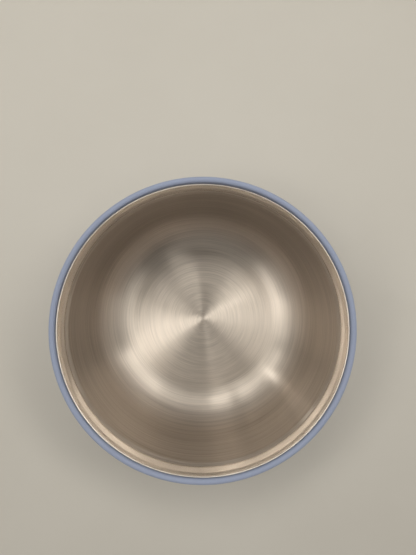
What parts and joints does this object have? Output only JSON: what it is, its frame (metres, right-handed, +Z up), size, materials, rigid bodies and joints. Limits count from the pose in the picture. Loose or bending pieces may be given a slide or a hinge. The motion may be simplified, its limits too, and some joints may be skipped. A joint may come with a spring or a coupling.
{
  "type": "suction bowl",
  "caption": "Round feeding bowl: a lift-out stainless steel bowl in a soft silicone sleeve with a wide suction foot and a pull tab to let it go.",
  "frame": {"origin": "on the table at the bowl's vertical axis, level with the underside of the suction lip", "axes": "+Z up out of the bowl, the pull tab towards -Y, +X to the right"},
  "size_m": [0.126, 0.126, 0.0629],
  "materials": {
    "steel": "circular brushed floor, satin wall",
    "silicone": "matte periwinkle silicone"
  },
  "bodies": {
    "foot": {"suction_lip": "silicone", "suction_web": "silicone"},
    "sleeve": {"silicone_sleeve": "silicone"},
    "bowl": {"steel_bowl": "steel"},
    "tab": {"pull_tab": "silicone"}
  },
  "joints": [
    {"name": "sleeve_press", "type": "slide", "parent": "foot", "child": "sleeve", "axis": [0, 0, -1], "range_m": [0, 0.0025], "stiffness_N_per_m": 2000, "springref_m": -0.002, "deforming": ["suction_web"]},
    {"name": "bowl_lift", "type": "slide", "parent": "sleeve", "child": "bowl", "axis": [0, 0, 1], "range_m": [0, 0.055]},
    {"name": "tab_peel", "type": "hinge", "parent": "foot", "child": "tab", "pos_m": [0, -0.04945, 0.0012], "axis": [-1, 0, 0], "range_deg": [0, 60], "stiffness_Nm_per_rad": 0.004}
  ]
}
